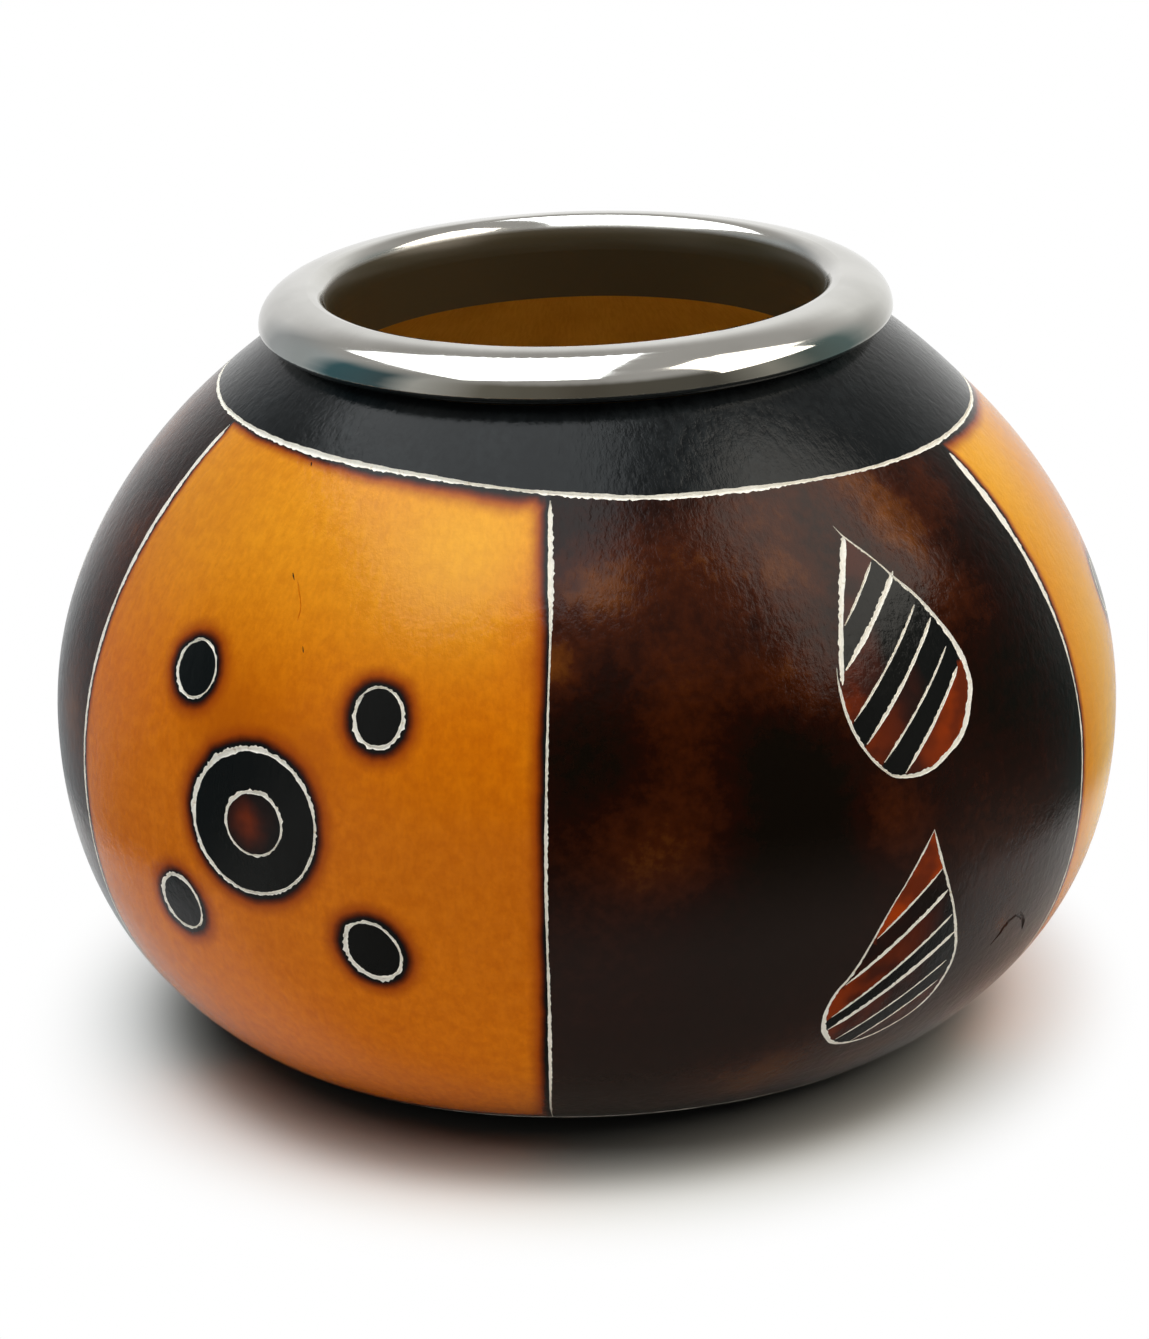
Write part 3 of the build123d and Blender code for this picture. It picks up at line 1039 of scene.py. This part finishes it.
amber_skin, tree, shader = start_material("amber_skin", specular=SKIN_SPECULAR)
grain = use_group(tree, grain_group)
along = add(tree, "SeparateXYZ", {0: add(tree, "UVMap", uv_map="grain").outputs[0]}).outputs[1]
colour = mix(tree, fade(tree, along, HIGH_FROM, HIGH_TO), AMBER_LOW, AMBER_HIGH)
tone = maths(tree, "MULTIPLY", grain["Felt"], TONE_FELT)
tone = maths(tree, "MULTIPLY_ADD", grain["Fibre"], TONE_FIBRE, tone)
tone = maths(tree, "MULTIPLY_ADD", grain["Cloud"], TONE_CLOUD, tone)
mottle = mix(tree, tone, MOTTLE_DARK, MOTTLE_PALE)
glaze = {"data_type": "RGBA", "blend_type": "MULTIPLY"}
colour = add(tree, "Mix", {0: 1.0, 6: colour, 7: mottle}, **glaze).outputs[2]
colour = mix(tree, measure(tree, "stain_and_painted_light"), colour, AMBER_TAN)
# Dabs below zero mix in gold, a painted highlight
colour = mix(tree, maths(tree, "MULTIPLY", measure(tree, "stain_and_painted_light"), -1.0), colour, AMBER_PAINTED_HIGHLIGHT)
inputs = {"Colour": colour, "Heat": 1.0, "Felt": grain["Felt"], "Cloud": grain["Cloud"]}
tree.links.new(use_group(tree, scorch_group, inputs)["Colour"], shader["Base Color"])
skin_shading(tree, shader, grain)
gourd_mesh.materials.append(amber_skin)
print("amber_skin has", len(tree.nodes), "nodes")

# %% [markdown]
# The brown is the same skin under a dark stain. It is black where the stain is thick and shows red and orange
# where it is thin. One number runs through a ramp of four colours, which is easier to tune than a stack of
# mixes. A grey painted sheen, which stands for the reflection of the pale floor, lies on the lower half.

# %% Make the brown skin
STAIN_BASE, STAIN_CLOUD, STAIN_FELT = 0.10, 0.20, 0.18
STAIN_STOPS = [
    (0.0, paint(0.0044, 0.0026, 0.0012)),
    (0.3, paint(0.0138, 0.0023, 0.0005)),
    (0.6, paint(0.0460, 0.0080, 0.0008)),
    (1.0, paint(0.1500, 0.0400, 0.0030)),
]
STAIN_LEAST, STAIN_UNEVEN = 0.7, 0.5
# A grey painted sheen for the pale floor's reflection, over the lower half of the panel
PAINTED_SHEEN = paint(0.032, 0.022, 0.019)
PAINTED_SHEEN_FULL, PAINTED_SHEEN_NONE, PAINTED_SHEEN_SHARE = -9.0, 4.0, 0.6

brown_skin, tree, shader = start_material("brown_skin", specular=DARK_SPECULAR)
grain = use_group(tree, grain_group)
uneven = maths(tree, "MULTIPLY_ADD", grain["Cloud"], STAIN_UNEVEN, STAIN_LEAST)
tone = maths(tree, "MULTIPLY_ADD", measure(tree, "stain_and_painted_light"), uneven, STAIN_BASE)
tone = maths(tree, "MULTIPLY_ADD", grain["Cloud"], STAIN_CLOUD, tone)
tone = maths(tree, "MULTIPLY_ADD", grain["Felt"], STAIN_FELT, tone)
colour = ramp(tree, tone, STAIN_STOPS)
along = add(tree, "SeparateXYZ", {0: add(tree, "UVMap", uv_map="grain").outputs[0]}).outputs[1]
# Lay the painted sheen of the floor over the lower half
colour = mix(tree, fade(tree, along, PAINTED_SHEEN_FULL, PAINTED_SHEEN_NONE, PAINTED_SHEEN_SHARE, 0.0), colour, PAINTED_SHEEN)
inputs = {"Colour": colour, "Heat": 0.0, "Felt": grain["Felt"], "Cloud": grain["Cloud"]}
tree.links.new(use_group(tree, scorch_group, inputs)["Colour"], shader["Base Color"])
skin_shading(tree, shader, grain)
gourd_mesh.materials.append(brown_skin)
print("brown_skin has", len(tree.nodes), "nodes")

# %% [markdown]
# The collar and the skin under the lower ring are black all over. Pure black would look like a hole, so two
# very dark cool tones are blended by the grain.

# %% Make the black collar
COLLAR_DEEP, COLLAR_PALE = paint(0.0050, 0.0062, 0.0070), paint(0.0160, 0.0190, 0.0205)

black_skin, tree, shader = start_material("black_skin", specular=DARK_SPECULAR)
grain = use_group(tree, grain_group)
tone = maths(tree, "MULTIPLY", grain["Felt"], grain["Cloud"])
tree.links.new(mix(tree, tone, COLLAR_DEEP, COLLAR_PALE), shader["Base Color"])
skin_shading(tree, shader, grain)
gourd_mesh.materials.append(black_skin)
print("black_skin has", len(tree.nodes), "nodes")

# %% [markdown]
# ## The flesh
# Where the skin is cut, the dry flesh is cream and matt, with a few darker flecks. They could be modelled,
# but at this size the peaks of a fine noise are enough. Inside the cup the flesh has browned with age and
# use, so it takes its tone from the grain that the skin has too.

# %% Make the cut flesh
CREAM, FLECK = paint(0.95, 0.91, 0.82), paint(0.75, 0.66, 0.52)
FLECKS_PER_MM, FLECK_DETAIL = 2.6, 2.0
FLECK_FROM, FLECK_TO = 0.58, 0.78
FLESH_ROUGH, FLESH_SPECULAR = 0.85, 0.2

cut_flesh, tree, shader = start_material("cut_flesh", roughness=FLESH_ROUGH, specular=FLESH_SPECULAR)
where = add(tree, "UVMap", uv_map="grain").outputs[0]
noise = {"Vector": where, "Scale": FLECKS_PER_MM, "Detail": FLECK_DETAIL}
flecks = fade(tree, add(tree, "TexNoise", noise).outputs[0], FLECK_FROM, FLECK_TO)
tree.links.new(mix(tree, flecks, CREAM, FLECK), shader["Base Color"])
gourd_mesh.materials.append(cut_flesh)
print("cut_flesh has", len(tree.nodes), "nodes")

# %% Make the inner flesh
INNER_DEEP, INNER_PALE = paint(0.60, 0.35, 0.06), paint(0.80, 0.55, 0.15)
INNER_FIBRE, INNER_CLOUD = 0.4, 0.6
INNER_ROUGH, INNER_SPECULAR = 0.7, 0.3

inner_flesh, tree, shader = start_material("inner_flesh", roughness=INNER_ROUGH, specular=INNER_SPECULAR)
grain = use_group(tree, grain_group)
tone = maths(tree, "MULTIPLY", grain["Cloud"], INNER_CLOUD)
tone = maths(tree, "MULTIPLY_ADD", grain["Fibre"], INNER_FIBRE, tone)
tree.links.new(mix(tree, tone, INNER_DEEP, INNER_PALE), shader["Base Color"])
gourd_mesh.materials.append(inner_flesh)
print("gourd has", len(gourd_mesh.materials), "finishes")

# %% [markdown]
# ## The rim and its glue
# The rim is spun from sheet steel and polished, so it mirrors the room with a slight blur, and very fine
# lines run round it. They change only the roughness, because a bump this fine wouldn't show. The sleeve
# inside the mouth is dull, and its dark brown is partly a stain and partly a painted reflection of the dark
# hollow under it. The CAD shape is right, so only its material changes: the distance from the axis tells
# the sleeve from the polished crown.
# The glue in the gap under the rim is a dull tan, and hardly shows.

# %% Make the steel
STEEL_WORN, STEEL_CLEAN = paint(0.58, 0.57, 0.54), paint(0.68, 0.67, 0.64)
LINES_PER_METRE, LINE_DETAIL = 2600.0, 2.0
LINE_FROM, LINE_TO = 0.35, 0.7
SMEARS_PER_METRE, SMEAR_DETAIL = 90.0, 3.0
SMEAR_FROM, SMEAR_TO = 0.35, 0.65
STEEL_ROUGH, STEEL_ROUGH_MORE = 0.06, 0.06
# The sleeve's dark brown: partly stain, partly a painted reflection of the dark hollow
SLEEVE_STAIN_AND_REFLECTION = paint(0.055, 0.040, 0.018)
SLEEVE_FROM, SLEEVE_TO = 23.05 * MM, 23.4 * MM
SLEEVE_ROUGH, SLEEVE_METAL = 0.25, 0.15

rim_steel, tree, shader = start_material("rim_steel", metallic=1.0)
space = add(tree, "TexCoord").outputs["Object"]
level = add(tree, "VectorMath", {0: space, 1: (1.0, 1.0, 0.0)}, operation="MULTIPLY").outputs[0]
from_axis = add(tree, "VectorMath", {0: level}, operation="LENGTH").outputs["Value"]
height = add(tree, "SeparateXYZ", {0: space}).outputs[2]
spun = add(tree, "CombineXYZ", {0: from_axis, 2: height}).outputs[0]
noise = {"Vector": spun, "Scale": LINES_PER_METRE, "Detail": LINE_DETAIL}
lines = fade(tree, add(tree, "TexNoise", noise).outputs[0], LINE_FROM, LINE_TO)
noise = {"Vector": space, "Scale": SMEARS_PER_METRE, "Detail": SMEAR_DETAIL}
smears = fade(tree, add(tree, "TexNoise", noise).outputs[0], SMEAR_FROM, SMEAR_TO)
rough = maths(tree, "MULTIPLY_ADD", lines, STEEL_ROUGH_MORE, STEEL_ROUGH)
sleeve = fade(tree, from_axis, SLEEVE_FROM, SLEEVE_TO, 1.0, 0.0)
tree.links.new(maths(tree, "MULTIPLY_ADD", sleeve, SLEEVE_ROUGH, rough), shader["Roughness"])
steel = mix(tree, smears, STEEL_WORN, STEEL_CLEAN)
# The sleeve gets its brown, partly stain and partly painted reflection
tree.links.new(mix(tree, sleeve, steel, SLEEVE_STAIN_AND_REFLECTION), shader["Base Color"])
tree.links.new(maths(tree, "MULTIPLY_ADD", sleeve, SLEEVE_METAL - 1.0, 1.0), shader["Metallic"])
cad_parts["mouth_rim"].data.materials[0] = rim_steel
print("rim_steel has", len(tree.nodes), "nodes")

# %% Make the glue
GLUE_TAN, GLUE_ROUGH = paint(0.30, 0.22, 0.12), 0.5

glue_tan, tree, shader = start_material("glue_tan", roughness=GLUE_ROUGH)
shader["Base Color"].default_value = GLUE_TAN
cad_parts["rim_glue"].data.materials[0] = glue_tan
print("rim and glue dressed")

# %% [markdown]
# ## The room
# The polished rim mirrors its surroundings, and that gives it its streaks: white paper behind, dark furniture
# at both sides, and the dark end of the room in front. A picture of a room could stand round the cup. For a
# curved mirror a ring of colours, one for each bearing, is enough. It is a group, because the floor and the
# world share it.

# %% Paint the room
# Bearing in degrees, from the viewer to the right, and the colour that is met there
ROOM_STOPS = [
    (-180, (0.98, 0.98, 0.97)), (-155, (0.80, 0.80, 0.80)), (-138, (0.40, 0.42, 0.43)),
    (-112, (0.42, 0.46, 0.47)), (-98, (0.05, 0.12, 0.14)), (-74, (0.06, 0.10, 0.11)),
    (-60, (0.50, 0.50, 0.47)), (-44, (0.32, 0.31, 0.28)), (-34, (0.17, 0.16, 0.13)),
    (0, (0.10, 0.09, 0.07)), (50, (0.09, 0.085, 0.07)), (72, (0.30, 0.29, 0.25)),
    (92, (0.10, 0.13, 0.12)), (112, (0.11, 0.16, 0.155)), (132, (0.52, 0.52, 0.50)),
    (150, (0.90, 0.90, 0.88)), (180, (0.98, 0.98, 0.97)),
]

room_group, ins, outs = start_group("room", {"Direction": "Vector"}, {"Colour": "Color"})
toward = add(room_group, "SeparateXYZ", {0: ins["Direction"]}).outputs
to_viewer = maths(room_group, "MULTIPLY", toward[1], -1.0)
bearing = maths(room_group, "ARCTAN2", toward[0], to_viewer)
bearing = maths(room_group, "MULTIPLY_ADD", bearing, 0.5 / math.pi, 0.5)
stops = [(mark / FULL_TURN + 0.5, paint(*colour)) for mark, colour in ROOM_STOPS]
room_group.links.new(ramp(room_group, bearing, stops), outs["Colour"])
print("the room has", len(ROOM_STOPS), "colours round it")

# %% [markdown]
# ## The floor
# The cup stands on white paper that runs up behind it, with a soft shadow close under it. To the camera the
# paper is also painted darker close round the cup, a painted shadow over the rendered one. The camera sees
# plain white wherever it looks past the cup and its shadow. In a mirror, the paper ends a few centimetres
# round the cup, sooner in front, and the room starts there. A real sweep of paper could be lit until it is
# white, but that light would also flood the cup. So the material asks which kind of ray has met it.

# %% Lay the floor
FLOOR_HALF = 3.0

corners_of_floor = [(-1, -1, 0), (1, -1, 0), (1, 1, 0), (-1, 1, 0)]
floor_mesh = bpy.data.meshes.new("floor")
floor_mesh.from_pydata([Vector(c) * FLOOR_HALF for c in corners_of_floor], [], [(0, 1, 2, 3)])
floor = bpy.data.objects.new("floor", floor_mesh)
bpy.context.collection.objects.link(floor)
print("floor is", 2 * FLOOR_HALF, "m wide")

# %% Make the paper
PAPER = paint(0.85, 0.85, 0.85)
# The camera sees the paper painted darker near the cup: a painted shadow
PAPER_PAINTED_SHADOW, PAPER_FAR = paint(0.42, 0.41, 0.38), paint(0.9, 0.89, 0.85)
WHITE = paint(1.0, 1.0, 1.0)
# Distances from the middle of the shadow, in metres: where the painted shadow on the seen paper pales,
# and where the paper turns white
NEAR, FAR_OUT = 0.038, 0.050
WHITE_FROM, WHITE_TO = 0.042, 0.062
SHADOW_SHIFT, SIDE_STRETCH = (0.002, 0.0, 0.0), (1.14, 1.0, 1.0)
# Where a mirror meets the room instead of the paper: in front of the cup, and all round it
FRONT_FROM, FRONT_TO = 0.028, 0.042
ROOM_FROM, ROOM_TO = 0.075, 0.095

white_paper, tree, shader = start_material("white_paper", roughness=1.0, specular=0.0)
ray = add(tree, "LightPath").outputs
space = add(tree, "TexCoord").outputs["Object"]
from_cup = add(tree, "VectorMath", {0: space}, operation="LENGTH").outputs["Value"]
to_front = maths(tree, "MULTIPLY", add(tree, "SeparateXYZ", {0: space}).outputs[1], -1.0)
shifted = add(tree, "VectorMath", {0: space, 1: SHADOW_SHIFT}, operation="ADD").outputs[0]
stretched = add(tree, "VectorMath", {0: shifted, 1: SIDE_STRETCH}, operation="MULTIPLY").outputs[0]
from_shadow = add(tree, "VectorMath", {0: stretched}, operation="LENGTH").outputs["Value"]
# Painted shadow: the paper that the camera sees darkens toward the cup
seen_with_painted_shadow = mix(tree, fade(tree, from_shadow, NEAR, FAR_OUT), PAPER_PAINTED_SHADOW, PAPER_FAR)
tree.links.new(mix(tree, ray["Is Camera Ray"], PAPER, seen_with_painted_shadow), shader["Base Color"])
room = use_group(tree, room_group, {"Direction": space})["Colour"]
backdrop = mix(tree, ray["Is Camera Ray"], room, WHITE)
far_white = fade(tree, from_shadow, WHITE_FROM, WHITE_TO)
far_white = maths(tree, "MULTIPLY", far_white, ray["Is Camera Ray"])
room_round = fade(tree, from_cup, ROOM_FROM, ROOM_TO)
room_in_front = fade(tree, to_front, FRONT_FROM, FRONT_TO)
far_room = maths(tree, "MAXIMUM", room_round, room_in_front)
far_room = maths(tree, "MULTIPLY", far_room, ray["Is Glossy Ray"])
past_shadow = maths(tree, "MAXIMUM", far_white, far_room)
paper = tree.nodes["Principled BSDF"].outputs[0]
beyond = add(tree, "Emission", {"Color": backdrop, "Strength": 1.0}).outputs[0]
shown = add(tree, "MixShader", {0: past_shadow, 1: paper, 2: beyond})
tree.links.new(shown.outputs[0], tree.nodes["Material Output"].inputs["Surface"])
floor_mesh.materials.append(white_paper)
print("white_paper has", len(tree.nodes), "nodes")

# %% [markdown]
# ## The light
# A large soft box hangs over the left side of the cup, and a tall window with a narrow side pane stands on
# its right. Lamps without a size could light the cup, but the rim and the waxed skin mirror the lights, so
# they are rectangles as large as such a box and such a window. The world adds a little even light. It shows
# the room and its ceiling to the mirrors, and plain white to the camera.

# %% Light the world
AMBIENT = paint(0.06, 0.06, 0.06)
CEILING = paint(0.43, 0.42, 0.40)
CEILING_FROM, CEILING_TO = 0.40, 0.74

world = bpy.data.worlds.new("studio")
bpy.context.scene.world = world
world.use_nodes = True
tree = world.node_tree
ray = add(tree, "LightPath").outputs
direction = add(tree, "TexCoord").outputs["Generated"]
colour = use_group(tree, room_group, {"Direction": direction})["Colour"]
upward = add(tree, "SeparateXYZ", {0: direction}).outputs[2]
colour = mix(tree, fade(tree, upward, CEILING_FROM, CEILING_TO), colour, CEILING)
mirrored = maths(tree, "MAXIMUM", ray["Is Glossy Ray"], ray["Is Transmission Ray"])
colour = mix(tree, mirrored, AMBIENT, colour)
colour = mix(tree, ray["Is Camera Ray"], colour, WHITE)
tree.links.new(colour, tree.nodes["Background"].inputs["Color"])
print("world has", len(tree.nodes), "nodes")

# %% Hang the soft box and set up the window
BOX_MIDDLE, BOX_SIZE, BOX_WATTS = Vector((-0.27, -0.06, 0.80)), (0.74, 1.06), 8.0
WINDOW_MIDDLE, WINDOW_SIZE, WINDOW_WATTS = Vector((0.80, -0.24, 1.19)), (0.72, 1.52), 13.0
PANE_MIDDLE, PANE_SIZE, PANE_WATTS = Vector((0.80, 0.20, 1.25)), (0.16, 1.00), 1.3
COOL, WARM = (0.94, 0.98, 1.0), (1.0, 0.945, 0.85)


def soft_light(name, middle, size, watts, colour, toward):
    """A rectangular light of an even brightness that faces the given way."""
    lamp = bpy.data.lights.new(name, "AREA")
    lamp.shape = "RECTANGLE"
    lamp.size, lamp.size_y = size
    lamp.energy = watts
    lamp.color = colour
    made = bpy.data.objects.new(name, lamp)
    made.location = middle
    made.rotation_euler = Vector(toward).to_track_quat("-Z", "Y").to_euler()
    bpy.context.collection.objects.link(made)


soft_light("soft box", BOX_MIDDLE, BOX_SIZE, BOX_WATTS, COOL, (0, 0, -1))
soft_light("window", WINDOW_MIDDLE, WINDOW_SIZE, WINDOW_WATTS, WARM, (-1, 0, 0))
soft_light("side pane", PANE_MIDDLE, PANE_SIZE, PANE_WATTS, WARM, (-1, 0, 0))

# %% [markdown]
# ## Finish
# The view transform is set to Standard.

# %% Finish
bpy.context.scene.view_settings.view_transform = "Standard"
